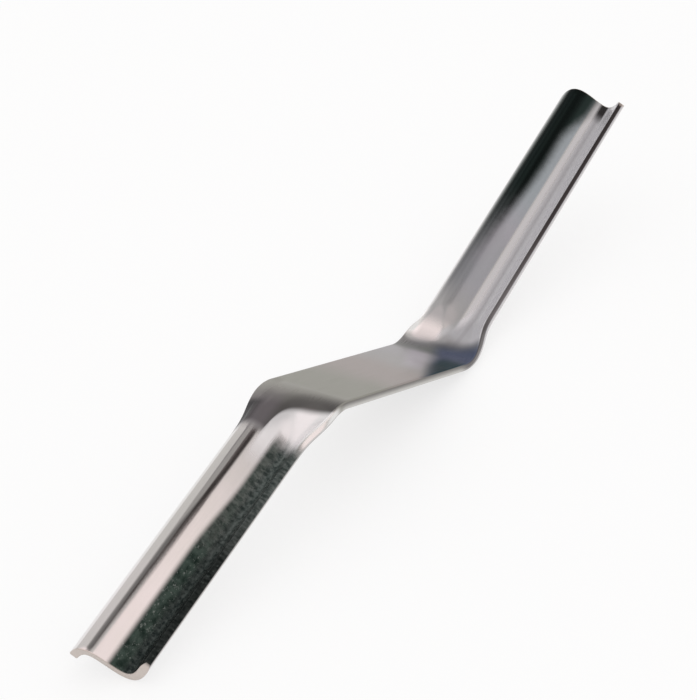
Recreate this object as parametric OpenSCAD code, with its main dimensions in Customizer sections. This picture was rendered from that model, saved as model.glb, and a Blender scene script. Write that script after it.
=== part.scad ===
// Cranked cable needle: one strip of bright steel, bent twice to make an offset bridge,
// with both arms pressed to a shallow wave across their width.
//
// The needle lies on its back as it does on a table: it touches the table with the tip of
// the short arm and with the outside of the bend at the foot of the long arm.
// +X runs from the tip of the short arm towards the tip of the long arm, +Y runs across the
// strip towards the hump of the wave, and +Z is up.
// The origin is below the middle of the needle's box, on the table.

/* [Strip] */
// Width of the strip where it is flat
strip_w = 11; // [10:0.5:14]
// Thickness of the steel
strip_t = 1; // [0.8:0.1:1.2]
// Slant of both cut ends across the strip, in degrees
end_slant = 11; // [0:1:15]

/* [Crank] */
// Length of the bridge, from the corner of one bend to the corner of the other
bridge_l = 30; // [26:1:40]
// Length of the short arm, from its bend's corner to its tip
short_arm_l = 39; // [30:1:50]
// Length of the long arm, from its bend's corner to its tip
long_arm_l = 47; // [30:1:60]
// How far the short arm is bent down from the bridge, in degrees
short_arm_bend = 37; // [30:1:45]
// How far the long arm is bent up from the bridge, in degrees
long_arm_bend = 41; // [30:1:45]
// Radius of both bends, at the middle of the steel
bend_r = 5; // [2:0.5:5]

/* [Wave] */
// Height of the hump, and depth of the trough, at the middle of the steel
wave_h = 1.7; // [1:0.1:1.8]
// How far before the end of each bend the wave starts
wave_lead = 4; // [4:0.25:5]
// Length along the strip over which the wave grows to its full height
wave_run = 10; // [9:0.5:14]

/* [Smoothness] */
// Faces across the strip
steps_across = 24; // [16:4:40]
// Faces along each bend
steps_bend = 8; // [6:1:10]
// Faces along the stretch of each arm where the wave grows
steps_run = 9; // [8:1:16]

/* [Hidden] */

// A smooth step from 0 to 1, level at both ends
function smooth(q) = let (p = min(max(q, 0), 1)) pow(p, 3) * (10 - 15 * p + 6 * p * p);

// Where a bend starts and ends, and where the arm ends, as lengths of steel from the bridge's middle
function bend_start(bend) = bridge_l / 2 - bend_r * tan(bend / 2);
function bend_end(bend) = bend_start(bend) + bend_r * bend * PI / 180;
function arm_end(bend, arm_l) = bend_end(bend) + arm_l - bend_r * tan(bend / 2);

// The angle that the steel has turned through at a length d from the bridge's middle
function turned(d, bend) = min(max((d - bend_start(bend)) * 180 / (PI * bend_r), 0), bend);

// The middle of the steel there: along the bridge, round the bend, then straight up the arm
function middle(d, bend) =
    let (a = turned(d, bend), e = max(d - bend_end(bend), 0))
    [min(d, bend_start(bend)) + bend_r * sin(a) + e * cos(bend),
     0,
     bend_r * (1 - cos(a)) + e * sin(bend)];

// The wave's height there: it grows smoothly out of the flat bridge
function wave(d, bend) = wave_h * smooth((d - bend_end(bend) + wave_lead) / wave_run);

// A wave of height h draws the strip in, because the steel across it keeps its length
function chord(h) = strip_w - pow(PI * h, 2) / strip_w;

// One point of the section across the strip: c runs from 0 at the hump's edge to 1 at the
// trough's edge, and face is +1 for the front of the steel and -1 for its back.
// The result is [across, out]: a full sine wave, set off by half a thickness at right angles.
function wave_point(c, h, face) =
    let (w = chord(h),
         slope = [-w, 2 * PI * h * cos(360 * c)],
         off = face * strip_t / (2 * norm(slope)))
    [(0.5 - c) * w + off * slope[1], h * sin(360 * c) - off * slope[0]];

// One ring round the strip, d along an arm: the front from edge to edge, then back along the back.
// way is +1 for the long arm and -1 for the short arm, which leaves the bridge the other way.
// trim slides each point along the arm for a slanted cut.
function ring(d, bend, way, trim) =
    let (a = turned(d, bend), h = wave(d, bend), m = way * middle(d, bend))
    [for (i = [0 : 2 * steps_across + 1])
        let (front = i <= steps_across,
             c = (front ? i : 2 * steps_across + 1 - i) / steps_across,
             p = wave_point(c, h, front ? 1 : -1),
             across = p.x,
             out = p.y,
             slide = -trim * across)
        m + [slide * cos(a) - out * sin(a), across, slide * sin(a) + out * cos(a)]];

// Lengths along one arm at which a ring is set, from the flat bridge out to the tip
function stations(bend, arm_l) =
    let (s = bend_start(bend), e = bend_end(bend), grown = e - wave_lead + wave_run)
    concat(
        [e - wave_lead],
        [for (i = [0 : steps_bend]) s + (e - s) * i / steps_bend],
        [for (i = [1 : steps_run]) e + (grown - e) * i / steps_run],
        [arm_end(bend, arm_l)]);

// The rings of one arm; only the last one, at the tip, is cut on the slant
function arm_rings(bend, arm_l, way) =
    let (d = stations(bend, arm_l), last = len(d) - 1)
    [for (i = [0 : last]) ring(d[i], bend, way, i == last ? tan(end_slant) : 0)];

short_rings = arm_rings(short_arm_bend, short_arm_l, -1);
long_rings = arm_rings(long_arm_bend, long_arm_l, 1);
rings = concat([for (i = [len(short_rings) - 1 : -1 : 0]) short_rings[i]], long_rings);
crank_points = [for (r = rings) each r];

// The table line starts under the trough at the tip of the short arm and is tangent to the rest,
// which it meets at the foot of the long arm. The needle is tipped by the slope of that line.
tip_foot = rings[0][round(1.25 * steps_across) + 1];
rest_slope = min([for (p = crank_points) if (p.x > 0) atan2(p.z - tip_foot.z, p.x - tip_foot.x)]);
tipped = [for (p = crank_points) [
    p.x * cos(rest_slope) + p.z * sin(rest_slope),
    p.y,
    p.z * cos(rest_slope) - p.x * sin(rest_slope)]];
x_mid = (min([for (p = tipped) p.x]) + max([for (p = tipped) p.x])) / 2;
z_low = min([for (p = tipped) p.z]);
strip_points = [for (p = tipped) p - [x_mid, 0, z_low]];

// Points in one ring
around = 2 * (steps_across + 1);

// Two triangles between ring k and the next one, at side j of the ring
function side_faces(k, j) =
    let (n = (j + 1) % around, a = k * around, b = a + around)
    [[a + j, b + j, b + n], [a + j, b + n, a + n]];

// Two triangles of a cut end, between the front and the back of the steel; turn faces them the other way
function end_faces(k, j, turn) =
    let (a = k * around, f = a + j, g = f + 1, p = a + around - 1 - j, q = p - 1)
    turn ? [[f, g, q], [f, q, p]] : [[f, q, g], [f, p, q]];

strip_faces = concat(
    [for (k = [0 : len(rings) - 2], j = [0 : around - 1]) each side_faces(k, j)],
    [for (j = [0 : steps_across - 1]) each end_faces(0, j, true)],
    [for (j = [0 : steps_across - 1]) each end_faces(len(rings) - 1, j, false)]);

module needle_strip() {
    color([0.72, 0.71, 0.70])
        polyhedron(points = strip_points, faces = strip_faces, convexity = 6);
}

needle_strip();
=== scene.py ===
import math

import bpy
import numpy as np
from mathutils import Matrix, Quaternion, Vector


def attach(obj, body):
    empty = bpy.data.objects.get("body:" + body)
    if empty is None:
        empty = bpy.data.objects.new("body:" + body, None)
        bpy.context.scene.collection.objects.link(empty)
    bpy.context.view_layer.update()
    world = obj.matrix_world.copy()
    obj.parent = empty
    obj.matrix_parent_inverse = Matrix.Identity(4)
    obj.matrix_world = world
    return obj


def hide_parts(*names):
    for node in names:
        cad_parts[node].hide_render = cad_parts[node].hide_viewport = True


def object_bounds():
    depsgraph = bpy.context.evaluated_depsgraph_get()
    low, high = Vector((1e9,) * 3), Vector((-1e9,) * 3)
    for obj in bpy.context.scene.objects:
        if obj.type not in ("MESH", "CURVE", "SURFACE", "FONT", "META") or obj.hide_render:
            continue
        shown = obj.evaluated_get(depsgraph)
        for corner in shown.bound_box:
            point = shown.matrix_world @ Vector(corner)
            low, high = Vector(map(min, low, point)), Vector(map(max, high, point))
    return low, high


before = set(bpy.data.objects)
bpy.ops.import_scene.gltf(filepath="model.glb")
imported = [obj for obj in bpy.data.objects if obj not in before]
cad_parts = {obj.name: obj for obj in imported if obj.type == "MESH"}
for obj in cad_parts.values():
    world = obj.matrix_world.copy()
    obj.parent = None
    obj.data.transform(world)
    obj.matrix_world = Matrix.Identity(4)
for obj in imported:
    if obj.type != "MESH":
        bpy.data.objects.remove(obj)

# ---- The camera ----------------------------------------------------------------------------------
# The needle lies on a table at z = 0. A long lens looks down on it from beyond the tip of the
# short arm, over its trough's side, and is rolled a little to the left.
cad_box = [list(corner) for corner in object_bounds()]
box_low, box_high = (Vector(corner) for corner in cad_box)

camera_azimuth = math.radians(-52.747)
camera_elevation = math.radians(33.003)
camera_roll = math.radians(-7.243)
camera_distance = 0.23108
aim_point = (box_low + box_high) / 2 + Vector((-0.00287, 0.00344, -0.00031))
back_of_camera = Vector((
    math.sin(camera_azimuth) * math.cos(camera_elevation),
    -math.cos(camera_azimuth) * math.cos(camera_elevation),
    math.sin(camera_elevation),
))

lens = bpy.data.cameras.new("camera")
lens.lens = 98.74
lens.clip_start = 0.01
lens.clip_end = 20.0
camera = bpy.data.objects.new("camera", lens)
camera.location = aim_point + camera_distance * back_of_camera
camera.rotation_mode = "QUATERNION"
rolled = Quaternion((0, 0, 1), camera_roll)
camera.rotation_quaternion = (-back_of_camera).to_track_quat("-Z", "Y") @ rolled
bpy.context.scene.collection.objects.link(camera)
bpy.context.scene.camera = camera

# ---- The needle ----------------------------------------------------------------------------------
# One strip of bright plated steel, 11 mm wide and 1 mm thick, sheared to length on a slight slant.
# It is bent twice, so that the flat bridge in the middle is offset, and both arms are then pressed
# between dies to a wave across their width: a hump on the +Y side and a trough on the -Y side.
strip_w = 0.011
strip_t = 0.001
end_slant = math.radians(11)
bridge_l = 0.030
short_arm_l = 0.039
long_arm_l = 0.047
short_arm_bend = math.radians(37)
long_arm_bend = math.radians(41)
bend_r = 0.005
wave_h = 0.0017
wave_lead = 0.004
wave_run = 0.010

side_round = 0.00028   # radius of the four long edges, left by the rolls
end_round = 0.00016    # radius round the sheared ends, left by tumbling
corner_round = 0.0009  # radius of the four corners of the strip, seen from the front
trim_run = 0.012       # length of each arm over which the slant of its cut is taken up


def smooth(q):
    """A step from 0 to 1, level at both ends: q cubed times (10 - 15 q + 6 q squared)."""
    q = np.clip(q, 0, 1)
    return q**3 * (10 - 15 * q + 6 * q * q)


def strip_place(d, c, off):
    """Where a point of the steel lies, before the needle is tipped to rest on the table.

    d is the length of steel from the middle of the bridge, negative on the short arm. c runs
    across the strip from 0 at the hump's edge to 1 at the trough's, and off is the height over
    the middle of the steel. The middle goes straight, round an arc of bend_r and straight on;
    the section is a full sine wave whose chord shrinks so that the steel keeps its width, and
    off is laid off at right angles to that wave.
    """
    way = np.where(d < 0, -1.0, 1.0)
    bend = np.where(d < 0, short_arm_bend, long_arm_bend)
    length = np.abs(d)
    start = bridge_l / 2 - bend_r * np.tan(bend / 2)
    end = start + bend_r * bend
    turned = np.clip((length - start) / bend_r, 0, bend)
    arm = np.maximum(length - end, 0)
    middle_x = np.minimum(length, start) + bend_r * np.sin(turned) + arm * np.cos(bend)
    middle_z = bend_r * (1 - np.cos(turned)) + arm * np.sin(bend)
    height = wave_h * smooth((length - end + wave_lead) / wave_run)
    chord = strip_w - (math.pi * height) ** 2 / strip_w
    slope = 2 * math.pi * height * np.cos(2 * math.pi * c)
    steep = np.hypot(chord, slope)
    across = (0.5 - c) * chord + off * slope / steep
    out = height * np.sin(2 * math.pi * c) + off * chord / steep
    x = way * middle_x - out * np.sin(turned)
    z = way * middle_z + out * np.cos(turned)
    return np.stack([x, across + 0 * x, z], -1)


def arm_length(bend, arm_l):
    """Length of steel from the middle of the bridge to an arm's tip."""
    return bridge_l / 2 - 2 * bend_r * math.tan(bend / 2) + bend_r * bend + arm_l


short_end = arm_length(short_arm_bend, short_arm_l)
long_end = arm_length(long_arm_bend, long_arm_l)


def cut_line(c, rounding):
    """How far each cut lies beyond the arm's nominal end, at c across the strip: short arm, long arm.

    It is the tangent of the slant times the way from the middle of the chord. Both cuts slant
    alike, so the short arm is longer at the hump's edge and the long arm at the trough's. Near
    each edge a quarter circle of radius rounding takes the corner off.
    """
    chord = strip_w - (math.pi * wave_h) ** 2 / strip_w
    slant = math.tan(end_slant) * (c - 0.5) * chord
    from_edge = np.clip(1 - np.minimum(c, 1 - c) * strip_w / rounding, 0, 1) if rounding else 0
    corner = rounding * (1 - np.sqrt(1 - from_edge**2))
    return -slant - corner, slant - corner


def slanted(d, c, rounding):
    """Lengths d along the strip, slid little by little so that they end on the cuts.

    The slide grows evenly from nothing to the whole of it over the last trim_run of each arm.
    """
    at_short, at_long = cut_line(c, rounding)
    to_short = np.clip((trim_run - short_end - d) / trim_run, 0, 1)
    to_long = np.clip((trim_run - long_end + d) / trim_run, 0, 1)
    return d - to_short * at_short + to_long * at_long


# The needle rests on the back of the trough at the short tip and on the foot of the long arm.
# The line under both is tangent to the outside of the bend; the needle is tipped by its slope.
sharp_rows = 1500
sharp_steps = 48
trough_middle = sharp_steps * 3 // 4
sharp_c = np.linspace(0, 1, sharp_steps + 1)
sharp_d = slanted(np.linspace(-short_end, long_end, sharp_rows)[:, None], sharp_c, 0)
front_face = strip_place(sharp_d, sharp_c, strip_t / 2)
back_face = strip_place(sharp_d, sharp_c, -strip_t / 2)
foot = back_face[0, trough_middle]
beyond = back_face[back_face[..., 0] > 0] - foot
rest_slope = np.arctan2(beyond[:, 2], beyond[:, 0]).min()
tip_over = np.array([
    [math.cos(rest_slope), 0, math.sin(rest_slope)],
    [0, 1, 0],
    [-math.sin(rest_slope), 0, math.cos(rest_slope)],
])
lying = (np.concatenate([front_face, back_face]) @ tip_over.T).reshape(-1, 3)
rest_shift = np.array([
    (box_low.x + box_high.x) / 2 - (lying[:, 0].min() + lying[:, 0].max()) / 2,
    0,
    box_low.z - lying[:, 2].min(),
])

# Once round the section: a flat core as wide as the strip less its rounded edges, and a small
# circle carried round it. Each point is a core point and a direction from it.
front_steps = 110
edge_steps = 6
face = np.linspace(side_round, strip_w - side_round, front_steps)
far = np.full(edge_steps, strip_w - side_round)
near = np.full(edge_steps, side_round)
upper = np.ones(front_steps + edge_steps)
core_across = np.concatenate([face, far, far, face[::-1], near, near])
core_side = np.concatenate([upper, -upper, -upper[:edge_steps], upper[:edge_steps]])
core_out = (strip_t / 2 - side_round) * core_side
quarter = np.linspace(math.pi / 2, 0, edge_steps + 1)[1:]
level = np.full(front_steps, math.pi / 2)
direction = np.concatenate([
    level, quarter, -quarter[::-1], -level, math.pi + quarter, math.pi - quarter[::-1]
])
around = len(direction)

# Along the steel: evenly from tip to tip, closer together round the bends, and then round the
# sheared ends, where the section shrinks by the radius of the rounding.
spacing = 0.0006
close_spacing = 0.00018
close_reach = 0.003
end_steps = 6
rows = np.arange(-short_end + spacing, long_end - spacing, spacing)
for corner_at in (-bridge_l / 2, bridge_l / 2):
    close_rows = np.arange(corner_at - close_reach, corner_at + close_reach, close_spacing)
    wide_rows = rows[np.abs(rows - corner_at) > close_reach + close_spacing]
    rows = np.concatenate([wide_rows, close_rows])
end_turn = np.linspace(0, math.pi / 2, end_steps)
shrink = end_round * (1 - np.cos(end_turn))
setback = end_round * (1 - np.sin(end_turn))
rows = np.concatenate([-short_end + setback[::-1], np.sort(rows), long_end - setback])[:, None]
inset = np.concatenate([shrink[::-1], np.zeros(len(rows) - 2 * len(shrink)), shrink])[:, None]

section_c = (core_across + (side_round - inset) * np.cos(direction)) / strip_w
section_off = core_out + (side_round - inset) * np.sin(direction)
row_d = slanted(rows, section_c, corner_round)
points = strip_place(row_d, section_c, section_off) @ tip_over.T + rest_shift

# Four-sided faces round the skin, and a ladder of them over each cut end
ring, side = np.meshgrid(np.arange(len(rows) - 1), np.arange(around), indexing="ij")
here = ring * around + side
beside = ring * around + (side + 1) % around
skin_faces = np.stack([here, beside, beside + around, here + around], -1).reshape(-1, 4)
rung = np.arange(-edge_steps, front_steps + edge_steps - 1)
across_rung = around - 1 - 2 * edge_steps - rung
ladder = np.stack([rung % around, (rung + 1) % around, across_rung - 1, across_rung], -1)
end_faces = np.concatenate([ladder[:, ::-1], ladder + (len(rows) - 1) * around])

strip_mesh = bpy.data.meshes.new("needle")
every_face = np.concatenate([skin_faces, end_faces])
strip_mesh.from_pydata(points.reshape(-1, 3).tolist(), [], every_face.tolist())
rounded = np.ones(len(every_face), bool)
rounded[len(skin_faces):] = False
strip_mesh.polygons.foreach_set("use_smooth", rounded)

# What the finish follows: lengths in millimetres along, across and through the steel, and the
# distance from the nearer cut
MM = 1000.0
cut_distance = np.minimum(rows + short_end, long_end - rows)
follows = {
    "along": row_d * MM,
    "across": section_c * strip_w * MM,
    "through": section_off * MM,
    "from_cut": cut_distance * MM,
}
for name, values in follows.items():
    layer = strip_mesh.attributes.new(name, "FLOAT", "POINT")
    layer.data.foreach_set("value", np.broadcast_to(values, row_d.shape).ravel())

strip_mesh.update()
needle = bpy.data.objects.new("needle", strip_mesh)
bpy.context.scene.collection.objects.link(needle)


class Signal:
    """An output of a shader node. Arithmetic on it adds Math nodes to its own tree."""

    def __init__(self, plug):
        self.plug = plug

    @classmethod
    def node(cls, tree, kind, settings={}, sockets={}, output=0):
        """Adds a node of that kind: first its settings, then its sockets. Gives one of its outputs."""
        made = tree.nodes.new("ShaderNode" + kind)
        for name, value in settings.items():
            setattr(made, name, value)
        for name, value in sockets.items():
            if isinstance(value, Signal):
                tree.links.new(value.plug, made.inputs[name])
            else:
                made.inputs[name].default_value = value
        return cls(made.outputs[output]) if made.outputs else None

    def beside(self, kind, settings={}, sockets={}, output=0):
        """The same, in the tree that this signal belongs to."""
        return Signal.node(self.plug.id_data, kind, settings, sockets, output)

    def math(self, operation, *values):
        return self.beside("Math", {"operation": operation}, dict(enumerate(values)))

    def __add__(self, other):
        return self.math("ADD", self, other)

    __radd__ = __add__

    def __sub__(self, other):
        return self.math("SUBTRACT", self, other)

    def __rsub__(self, other):
        return self.math("SUBTRACT", other, self)

    def __mul__(self, other):
        return self.math("MULTIPLY", self, other)

    __rmul__ = __mul__

    def __truediv__(self, other):
        return self.math("DIVIDE", self, other)

    def __rtruediv__(self, other):
        return self.math("DIVIDE", other, self)

    def rise(self, start, end):
        """0 up to start, 1 from end on and a smooth step between; start may be the larger one."""
        sockets = {"Value": self, "From Min": start, "From Max": end}
        return self.beside("MapRange", {"interpolation_type": "SMOOTHSTEP"}, sockets)

    def band(self, start, end, soft):
        """1 between start and end, and 0 further than soft outside them."""
        return self.rise(start - soft, start) * self.rise(end + soft, end)

    def blend(self, low, high):
        """The colour low where this signal is 0, and high where it is 1."""
        return self.beside("Mix", {"data_type": "RGBA"}, {0: self, 6: low, 7: high}, 2)

    def scaled(self, factor):
        """This colour, lighter or darker by the factor."""
        return self.beside("VectorMath", {"operation": "SCALE"}, {"Vector": self, "Scale": factor})


# The steel is plated and bright, with a faint grain along it from the rolls. The bridge is worn to a
# satin, and both elbows are dull and carry painted shade; the long arm's elbow has a painted lilac
# highlight and a painted blue and teal reflection. The short arm's trough is painted dark green-black,
# and the long arm's hump carries a painted dark reflection.
steel = bpy.data.materials.new("bright_steel")
steel.use_nodes = True
tree = steel.node_tree
tree.nodes.clear()
along, across, through, from_cut = (
    Signal.node(tree, "Attribute", {"attribute_name": name}, {}, 2)
    for name in ("along", "across", "through", "from_cut")
)


def strip_noise(stretch, across_scale, detail, roughness=0.5, offset=0.0):
    """Noise in strip coordinates, stretched along the steel, between 0 and 1."""
    place = along.beside("CombineXYZ", {}, {0: along / stretch, 1: across, 2: through + offset})
    sockets = {"Vector": place, "Scale": across_scale, "Detail": detail, "Roughness": roughness}
    return place.beside("TexNoise", {}, sockets)


grain = strip_noise(30, 6.0, 4, 0.65)
cloud = strip_noise(2, 0.22, 2, 0.5, 7.0)
mottle = strip_noise(1.2, 1.1, 3, 0.6, 3.0)
speck = strip_noise(1.3, 3.2, 2, 0.7, 5.0)
side_mottle = strip_noise(0.4, 1.1, 3, 0.6, 9.0)

# Each patch of the finish is a mask: where on the steel it lies, and how softly it ends. Its numbers
# are millimetres: along the steel from the middle of the bridge, across it from the hump's edge,
# and through it from the middle. The first ones are the whole front, its top alone, the edge on the
# trough's side and the side face there.
front = through.rise(-0.45, -0.25)
top = through.rise(0.2, 0.4)
trough_edge = across.rise(10.75, 10.95)
side_face = trough_edge * through.rise(0.46, 0.34)

# The short arm's elbow is dull and carries painted shade as far as a crease that curves across the
# strip, darkest on the hump's side and near black on its outer side. Past the crease the saddle at
# the head of the trough is painted bright, a painted reflection.
inward = across - 3.9
past_crease = along + 15.5 + 2.24 / inward.math("MAXIMUM", inward, 0.3)
elbow_foot = along + 0.8 * across.rise(2.4, 1.0)
elbow_shade = (front * past_crease.rise(-1.1, 0.0) * elbow_foot.rise(-22.8, -20.8)
         * along.rise(-12.0, -14.2) * across.rise(10.9, 10.7))
elbow_side = elbow_shade * across.rise(2.0, 1.0)
elbow_shade_fade = (along - 0.18 * across).rise(-18.8, -14.2) * past_crease.rise(-0.3, 2.6)
elbow_outer_shade = front * across.rise(3.0, 1.6) * along.band(-21.0, -18.4, 1.3)
saddle_reflection = top * past_crease.rise(0.0, -0.5) * across.rise(4.0, 4.6) * along.rise(-27.0, -22.0)
saddle_side = side_face * along.band(-22.5, -16.0, 1.2)

# The bridge reaches from that crease to the other elbow. There a grey patch, a painted lilac highlight
# and a painted blue reflection, teal towards the trough's edge, follow each other on a slant, and end
# where the arm rises; painted shade darkens that elbow's crease.
on_bridge = along.math("ABSOLUTE", along).rise(18.5, 13.5) * past_crease.rise(-0.4, 0.2)
bridge_side = side_face * along.rise(-15.5, -14.0) * along.rise(14.2, 11.5)
before_arm = 1 - (along - 0.33 * across).rise(12.5, 15.9)
slant = along + 2.1 * across
far_patch = top * along.rise(7.0, 10.5) * before_arm
far_crease_shade = top * along.rise(12.2, 14.6) * before_arm
lilac_highlight = top * slant.band(21.0, 23.0, 4.0) * along.rise(4.0, 8.0) * before_arm
blue_reflection = top * slant.rise(24.0, 29.5) * before_arm
teal_reflection = blue_reflection * across.rise(6.8, 9.0) * along.rise(14.5, 11.0)

# The long arm's hump is painted grey, a painted reflection, and its trough is burnished, with a
# painted highlight where they meet and a painted dark streak, a painted reflection, along the trough.
# The foot of the hump has a painted highlight, and painted shade darkens the trough's lip from the
# elbow to the tip and the trough by the tip.
on_hump = top * across.rise(6.0, 5.0) * along.rise(18.0, 24.0)
hump_grey_reflection = top * across.rise(0.6, 1.9) * across.rise(5.9, 5.5) * along.rise(17.6, 20.0)
foot_highlight = top * across.rise(2.4, 1.0) * along.band(17.3, 20.0, 1.0)
burnish_line = 6.2 - 2.0 * along.rise(24.0, 17.0)
burnish = front * (across - burnish_line).rise(0.0, 0.6) * along.rise(15.5, 19.0)
painted_highlight = front * across.band(6.0, 6.3, 0.35) * along.rise(18.0, 21.0)
painted_dark_streak = burnish * across.band(6.95, 7.2, 0.35)
tip_shade = front * across.band(6.8, 7.7, 0.6) * along.rise(58.2, 60.6)
lip_shade = (trough_edge * through.band(-0.08, 0.33, 0.12)
            * (0.75 * along.rise(10.0, 13.0) + 0.25 * along.rise(24.0, 42.0)))

# The dark patches end in ragged lines. The one in the short arm's trough changes towards the edge and
# is greyer towards the elbow; the one on the long arm's hump, a painted reflection, widens towards the
# tip.
trough_dark_foot = along + 1.4 * mottle + 0.2 * across
trough_dark_side = across - 0.42 * along.rise(-38.0, -28.0)
trough_dark = front * trough_dark_side.rise(5.0, 5.7) * trough_dark_foot.rise(-17.7, -20.5)
trough_outer = across.rise(6.4, 7.6)
trough_upper = along.rise(-38.5, -36.0)
speckle = speck.rise(0.56, 0.74) * (1 - 0.7 * trough_outer) * (1 - 0.6 * trough_upper)
hump_dark_edge = (2.95 + 0.3 * mottle + 0.4 * cloud + 1.2 * along.rise(29.0, 50.0)
             + 1.25 * along.rise(52.5, 60.5))
hump_dark_reflection = (front * across.rise(0.3, 1.5) * (hump_dark_edge - across).rise(-0.85, 0.75)
             * (along + 2.0 * mottle).rise(27.0, 45.0))

# A painted dark line, a painted reflection, runs along the short arm's hump. The rolled edges have a
# painted highlight, and the cuts differ a little.
crest_line_at = across - 3.3 - 0.55 * along.rise(-40.0, -26.0)
crest_dark_line = front * crest_line_at.band(-0.04, 0.04, 0.30) * along.rise(-21.5, -24.0)
rim_highlight = 1 - across.band(0.3, 10.7, 0.3)
cut = from_cut.rise(0.22, 0.05)

# Colours that change within a patch
plate = cloud.rise(0.3, 0.7).blend((0.72, 0.70, 0.685, 1), (0.77, 0.735, 0.735, 1))
patchy = along + 3.0 * cloud
worn = patchy.rise(-6.0, 1.0).blend((0.30, 0.295, 0.26, 1), (0.365, 0.325, 0.312, 1))
worn = patchy.rise(3.0, 9.0).blend(worn, (0.375, 0.362, 0.36, 1))
# Painted reflection: grey on the long arm's hump, darker near its edge.
hump_reflection_tone = cloud.rise(0.35, 0.65).blend((0.375, 0.375, 0.395, 1), (0.425, 0.405, 0.44, 1))
hump_reflection_tone = along.rise(34.0, 44.0).blend(hump_reflection_tone, (0.378, 0.406, 0.432, 1))
hump_reflection_tone = across.rise(2.0, 4.2).blend((0.205, 0.205, 0.215, 1), hump_reflection_tone)
hump_reflection_tone = along.rise(21.0, 27.0).blend((0.41, 0.40, 0.40, 1), hump_reflection_tone)
# Painted shade: near black by the crease, lighter away from it.
elbow_shade_colour = across.rise(4.8, 3.6).blend((0.105, 0.098, 0.095, 1), (0.158, 0.142, 0.148, 1))
elbow_shade_colour = elbow_shade_fade.blend(elbow_shade_colour, (0.325, 0.315, 0.29, 1))
# The short arm's trough: dark green-black, mottled and speckled, greyer towards the elbow.
trough_dark_inner = mottle.rise(0.3, 0.7).blend((0.012, 0.022, 0.018, 1), (0.050, 0.075, 0.064, 1))
trough_dark_outer = side_mottle.rise(0.3, 0.7).blend((0.010, 0.017, 0.016, 1), (0.070, 0.082, 0.077, 1))
trough_dark_outer = trough_dark_outer.scaled(0.4 + 0.6 * across.rise(10.6, 9.0) + along.rise(-38.0, -27.0))
trough_dark_upper = side_mottle.rise(0.3, 0.7).blend((0.036, 0.041, 0.038, 1), (0.100, 0.105, 0.101, 1))
trough_dark_colour = (trough_outer + 0.6 * along.rise(-38.0, -26.0)).blend(trough_dark_inner, trough_dark_outer)
trough_dark_colour = speckle.blend(trough_dark_colour, (0.14, 0.165, 0.155, 1))
trough_dark_colour = (0.5 * trough_upper).blend(trough_dark_colour.scaled(1 + 0.6 * trough_upper), trough_dark_upper)
# Painted shade and light on the side faces: the bridge's darker towards the front, the saddle's
# towards the back.
bridge_side_shading = through.rise(0.4, -0.5).blend((0.22, 0.21, 0.20, 1), (0.72, 0.71, 0.68, 1))
saddle_side_shading = through.rise(-0.15, -0.42).blend((0.80, 0.79, 0.78, 1), (0.55, 0.54, 0.53, 1))

# The patches are laid over each other in this order.
colour = on_bridge.blend(plate, worn)
colour = (burnish + saddle_reflection).blend(colour, (0.645, 0.635, 0.655, 1))
# Painted reflection: the saddle is painted pale pinkish white.
colour = saddle_reflection.blend(colour, (0.84, 0.815, 0.82, 1))
# Painted grey reflection on the long arm's hump.
colour = hump_grey_reflection.blend(colour, hump_reflection_tone)
# Painted highlight where the hump meets the trough, and a painted dark streak, a painted reflection,
# in the trough.
colour = painted_highlight.blend(colour, (0.80, 0.78, 0.81, 1))
colour = painted_dark_streak.blend(colour, (0.58, 0.565, 0.585, 1))
# Painted shade over the short arm's elbow, near black on its outer side.
colour = elbow_shade.blend(colour, elbow_shade_colour)
colour = elbow_outer_shade.blend(colour, (0.035, 0.033, 0.035, 1))
colour = far_patch.blend(colour, (0.375, 0.36, 0.37, 1))
# Painted lilac highlight, painted shade in the crease, and a painted blue and teal reflection.
colour = lilac_highlight.blend(colour, (0.475, 0.445, 0.48, 1))
colour = far_crease_shade.blend(colour, (0.165, 0.172, 0.163, 1))
colour = blue_reflection.blend(colour, (0.088, 0.103, 0.160, 1))
colour = teal_reflection.blend(colour, (0.008, 0.036, 0.048, 1))
# Painted shade on the trough's lip and in the trough by the tip.
colour = lip_shade.blend(colour, (0.12, 0.11, 0.11, 1))
colour = tip_shade.blend(colour, (0.045, 0.042, 0.042, 1))
# Painted dark reflection on the long arm's hump, widening towards the tip.
colour = hump_dark_reflection.blend(colour, (0.030, 0.045, 0.042, 1))
# Painted shade and light on the side faces of the bridge and the saddle.
colour = bridge_side.blend(colour, bridge_side_shading)
colour = saddle_side.blend(colour, saddle_side_shading)
# The short arm's trough is painted dark green-black.
colour = trough_dark.blend(colour, trough_dark_colour)
# Painted highlight at the foot of the long arm's hump.
colour = foot_highlight.blend(colour, colour.scaled(1.6))
# Painted highlight along the rolled edges.
colour = (rim_highlight * (1 - trough_dark) * (1 - side_face)).blend(colour, colour.scaled(1.2))
# Painted dark line along the short arm's hump, a painted reflection.
colour = crest_dark_line.blend(colour, colour.scaled(0.5))
colour = cut.blend(colour, (0.62, 0.56, 0.52, 1))

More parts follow.
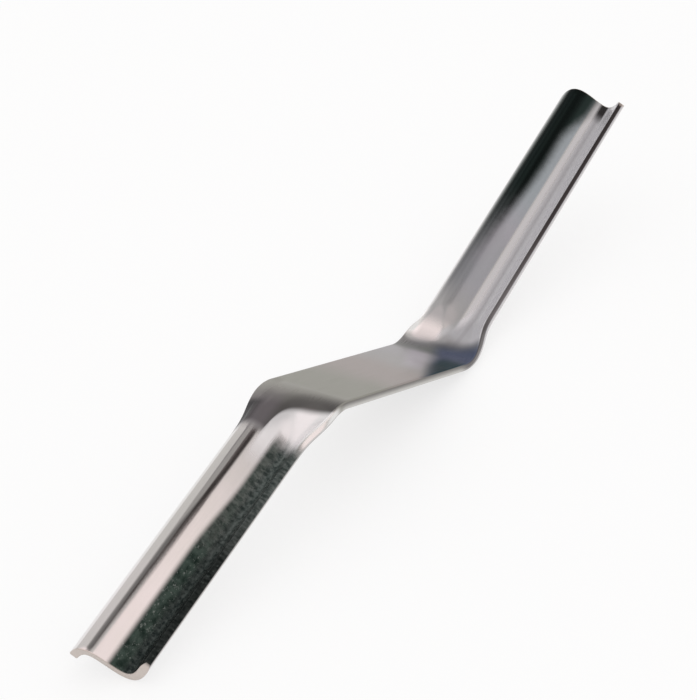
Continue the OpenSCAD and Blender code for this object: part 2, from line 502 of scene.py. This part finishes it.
# Dull steel and the outer part of the dark trough mirror least, burnished steel less than the plate,
# and the bridge half.
dull = (elbow_shade + far_patch + 0.75 * hump_grey_reflection * (1 - far_patch) * (1 - hump_dark_reflection)
        + 0.8 * trough_dark * trough_outer)
brushed = burnish * (1 - lip_shade) + saddle_reflection * (1 - trough_dark)
metallic = 1 - 0.6 * brushed * (1 - 0.4 * painted_highlight)
metallic = metallic * (1 - 0.75 * dull) * (1 - 0.5 * on_bridge * top * (1 - dull))
metallic = metallic * (1 - elbow_outer_shade) * (1 - elbow_side)
roughness = (0.08 + 0.06 * grain.rise(0.3, 0.7) + 0.20 * on_bridge + 0.12 * (burnish + saddle_reflection)
             + 0.10 * on_hump + 0.12 * trough_dark + 0.4 * elbow_side + 0.08 * rim_highlight + 0.3 * cut)
height = 0.6 * grain + 0.4 * cloud
bump = height.beside("Bump", {}, {"Strength": 0.04, "Distance": 0.0002, "Height": height})
shader = Signal.node(tree, "BsdfPrincipled", {}, {
    "Base Color": colour,
    "Metallic": metallic,
    "Roughness": roughness,
    "Normal": bump,
    "Specular IOR Level": 0.1,
})
Signal.node(tree, "OutputMaterial", {}, {"Surface": shader})
strip_mesh.materials.append(steel)

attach(needle, "root")
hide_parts("needle_strip")

# ---- The table and the studio --------------------------------------------------------------------
# A plain white table top, white to the camera and in the steel, that keeps a faint shadow.
half_table = 0.6
camera_share = 0.7  # how much of its plain white the camera sees in place of the lit board
mirror_share = 0.5  # and how much of it shows in the steel
table_mesh = bpy.data.meshes.new("table_top")
corners = [(-half_table, -half_table, 0), (half_table, -half_table, 0),
           (half_table, half_table, 0), (-half_table, half_table, 0)]
table_mesh.from_pydata(corners, [], [(0, 1, 2, 3)])
table_top = bpy.data.objects.new("table_top", table_mesh)
bpy.context.scene.collection.objects.link(table_top)

board = bpy.data.materials.new("white_board")
board.use_nodes = True
board.node_tree.nodes.clear()
matt = Signal.node(board.node_tree, "BsdfDiffuse", {}, {"Color": (0.96, 0.96, 0.96, 1)})
lit = matt.beside("Emission", {}, {"Color": (1, 1, 1, 1), "Strength": 1.0})
seen = matt.beside("LightPath", {}, {}, "Is Camera Ray")
glossy = seen.beside("LightPath", {}, {}, "Is Glossy Ray")
through_glass = seen.beside("LightPath", {}, {}, "Is Transmission Ray")
share = camera_share * seen + mirror_share * (glossy + through_glass)
board_finish = share.beside("MixShader", {}, {0: share, 1: matt, 2: lit})
Signal.node(board.node_tree, "OutputMaterial", {}, {"Surface": board_finish})
table_mesh.materials.append(board)

# The studio is a pale room with a dim ceiling. Beyond the tip of the long arm is a dark wall, with
# two grey columns on its hump's side and a dark corner on its trough's side. The near wall, on the
# trough's side, and all the room behind the short arm are pink-white. The world gives them by
# direction from the needle, as azimuth from +X and elevation from the table, in degrees.
world = bpy.data.worlds.new("studio")
world.use_nodes = True
bpy.context.scene.world = world
room = world.node_tree
room.nodes.clear()
towards = Signal.node(room, "TexCoord", {}, {}, "Generated")
toward_x, toward_y, toward_z = (
    towards.beside("SeparateXYZ", {}, {0: towards}, axis) for axis in range(3)
)
elevation = toward_z.math("ARCSINE", toward_z) * math.degrees(1)
azimuth = toward_y.math("ARCTAN2", toward_y, toward_x) * math.degrees(1)

side_wall = azimuth.band(61, 84, 5) * elevation.rise(78, 68)
far_wall = azimuth.band(-59, 42, 6) * elevation.band(38, 68, 7)
column = azimuth.band(40, 56, 5) * elevation.band(22, 68, 8)
low_column = azimuth.band(50, 62, 3) * elevation.band(20, 42, 8)
near_wall = azimuth.band(-100, -71, 4) * elevation.band(12, 53, 7)
behind = (azimuth.rise(78, 92) + azimuth.rise(-95, -110)) * elevation.band(28, 86, 4)
dark_corner = azimuth.band(-70, -57, 4) * elevation.band(52, 76, 6)
room_colour = elevation.rise(60, 80).blend((0.66, 0.64, 0.62, 1), (0.40, 0.39, 0.38, 1))
room_colour = side_wall.blend(room_colour, (0.72, 0.705, 0.69, 1))
room_colour = far_wall.blend(room_colour, (0.17, 0.152, 0.152, 1))
room_colour = column.blend(room_colour, (0.24, 0.23, 0.235, 1))
room_colour = low_column.blend(room_colour, (0.17, 0.16, 0.165, 1))
room_colour = near_wall.blend(room_colour, (1.08, 0.97, 0.95, 1))
room_colour = behind.blend(room_colour, (1.10, 1.0, 0.99, 1))
room_colour = dark_corner.blend(room_colour, (0.10, 0.085, 0.082, 1))
camera_ray = towards.beside("LightPath", {}, {}, "Is Camera Ray")
diffuse_ray = towards.beside("LightPath", {}, {}, "Is Diffuse Ray")
room_colour = (camera_ray + diffuse_ray).blend(room_colour, (1, 1, 1, 1))
backdrop = room_colour.beside("Background", {}, {"Color": room_colour, "Strength": 1.0})
Signal.node(room, "OutputWorld", {}, {"Surface": backdrop})

bpy.context.scene.view_settings.view_transform = "Standard"
